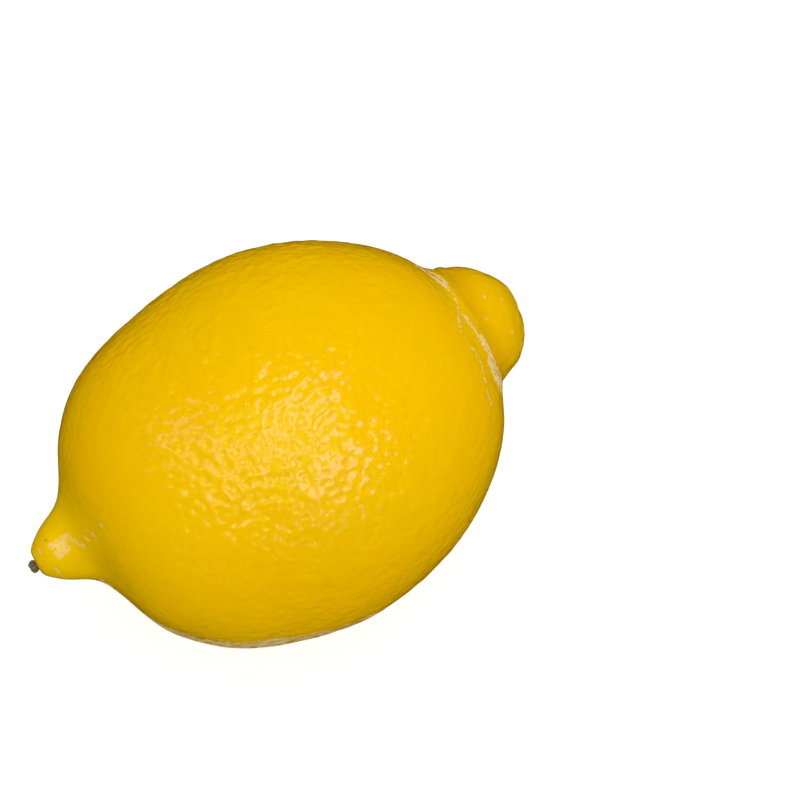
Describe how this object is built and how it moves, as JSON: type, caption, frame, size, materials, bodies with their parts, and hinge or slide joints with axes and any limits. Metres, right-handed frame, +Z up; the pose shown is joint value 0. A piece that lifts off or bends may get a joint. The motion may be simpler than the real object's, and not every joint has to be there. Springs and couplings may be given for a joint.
{
  "type": "lemon",
  "caption": "Whole ripe lemon lying on its side, with a tapered nipple that ends in a dried style stub and a broad collar behind a furrow at the stem end.",
  "frame": {"origin": "on the resting surface, under the middle of the lemon's bounding box", "axes": "+X along the fruit towards its stem end (the broad collar), -X towards the nipple, +Z up from the flat spot that it rests on"},
  "size_m": [0.0892, 0.062, 0.0616],
  "materials": {
    "rind": "waxy, pitted, satin lemon yellow",
    "dried_style": "dry, dull grey brown"
  },
  "bodies": {
    "root": {"fruit": "rind", "dried_style_tip": "dried_style"}
  },
  "joints": []
}
